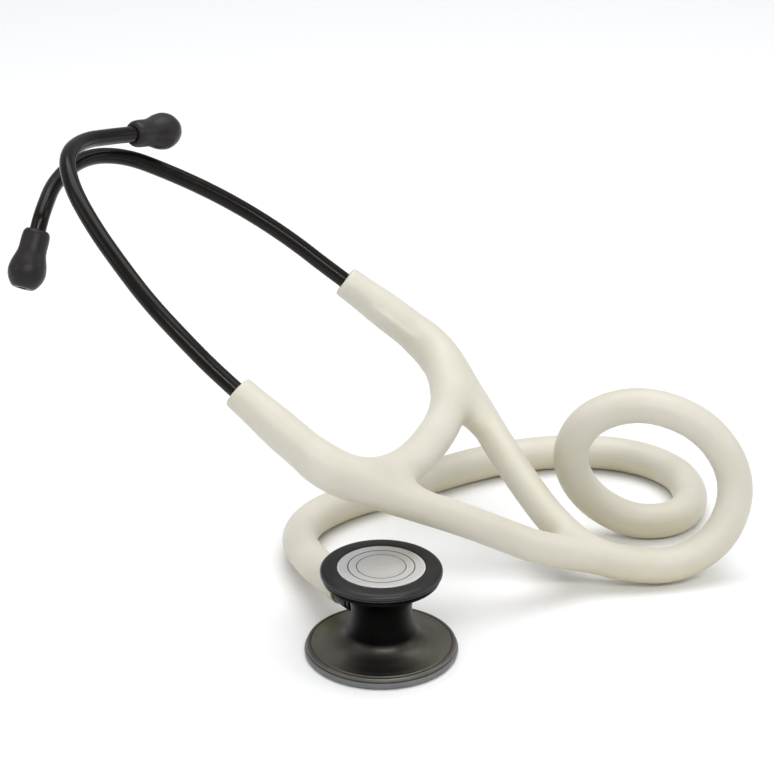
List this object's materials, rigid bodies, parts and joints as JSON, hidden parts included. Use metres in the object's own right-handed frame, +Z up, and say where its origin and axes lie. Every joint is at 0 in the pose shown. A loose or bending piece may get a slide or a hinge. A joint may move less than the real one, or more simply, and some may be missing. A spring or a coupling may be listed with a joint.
{
  "type": "stethoscope",
  "caption": "Stethoscope with a two-sided chestpiece, looped flexible hose, sprung yoke and angled ear tubes with soft eartips, for listening to heart and lung sounds.",
  "frame": {"origin": "centre of the large diaphragm's outer face, on the surface the stethoscope stands on", "axes": "+Z up through the chestpiece, +Y towards the headset, +X towards the hose's loop"},
  "size_m": [0.2207, 0.1451, 0.1247],
  "materials": {
    "head_metal": "satin",
    "rim_rubber": "matte",
    "dark_rim": "satin",
    "diaphragm": "gloss",
    "label_metal": "brushed",
    "stem_metal": "gloss",
    "seal": "matte",
    "steel": "polished",
    "spring_steel": "satin",
    "hose_vinyl": "satin",
    "ear_tube_metal": "gloss",
    "eartip_soft": "matte",
    "eartip_core": "matte"
  },
  "bodies": {
    "hose_and_yoke": {"main_hose": "hose_vinyl", "lower_split": "hose_vinyl", "left_branch": "hose_vinyl", "right_branch": "hose_vinyl", "bridge": "hose_vinyl", "leaf_spring": "spring_steel", "stem": "stem_metal", "stem_o_ring": "seal", "detent_ball": "steel", "detent_spring": "steel"},
    "chest_head": {"chestpiece_body": "head_metal", "large_rim": "rim_rubber", "small_rim": "dark_rim"},
    "large_side": {"large_diaphragm": "diaphragm"},
    "small_side": {"small_diaphragm": "diaphragm", "label_disc": "label_metal"},
    "left_arm": {"left_arm": "hose_vinyl"},
    "right_arm": {"right_arm": "hose_vinyl"},
    "left_tube": {"left_ear_tube": "ear_tube_metal"},
    "right_tube": {"right_ear_tube": "ear_tube_metal"},
    "left_tip": {"left_eartip": "eartip_soft", "left_eartip_core": "eartip_core"},
    "right_tip": {"right_eartip": "eartip_soft", "right_eartip_core": "eartip_core"}
  },
  "joints": [
    {"name": "head_turn", "type": "hinge", "parent": "hose_and_yoke", "child": "chest_head", "pos_m": [0, 0, 0.0127], "axis": [-0.5807, 0.8141, 0], "continuous": true},
    {"name": "large_diaphragm_press", "type": "slide", "parent": "chest_head", "child": "large_side", "axis": [0, 0, 1], "range_m": [0, 0.0004], "stiffness_N_per_m": 3000},
    {"name": "small_diaphragm_press", "type": "slide", "parent": "chest_head", "child": "small_side", "axis": [0, 0, -1], "range_m": [0, 0.0003], "stiffness_N_per_m": 3000},
    {"name": "left_spread", "type": "hinge", "parent": "hose_and_yoke", "child": "left_arm", "pos_m": [-0.01739, 0.0109, 0.0543], "axis": [0.544, -0.139, 0.8275], "range_deg": [0, 35], "stiffness_Nm_per_rad": 1.3, "deforming": ["leaf_spring"]},
    {"name": "right_spread", "type": "hinge", "parent": "hose_and_yoke", "child": "right_arm", "pos_m": [0.01376, 0.10581, 0.04976], "axis": [0.544, -0.139, 0.8275], "range_deg": [-35, 0], "stiffness_Nm_per_rad": 1.3},
    {"name": "left_swivel", "type": "hinge", "parent": "left_arm", "child": "left_tube", "pos_m": [-0.04094, 0.0225, 0.07172], "axis": [0.7474, -0.3681, -0.5531], "range_deg": [0, 25]},
    {"name": "right_swivel", "type": "hinge", "parent": "right_arm", "child": "right_tube", "pos_m": [-0.01158, 0.11194, 0.06744], "axis": [0.8043, -0.1945, -0.5614], "range_deg": [0, 25]},
    {"name": "left_tip_pull", "type": "slide", "parent": "left_tube", "child": "left_tip", "axis": [0.6516, 0.7331, -0.1947], "range_m": [0, 0.012]},
    {"name": "right_tip_pull", "type": "slide", "parent": "right_tube", "child": "right_tip", "axis": [-0.2374, -0.5113, -0.826], "range_m": [0, 0.012]}
  ],
  "couplings": [
    {"joint": "right_spread", "follows": "left_spread", "ratio": -1}
  ]
}
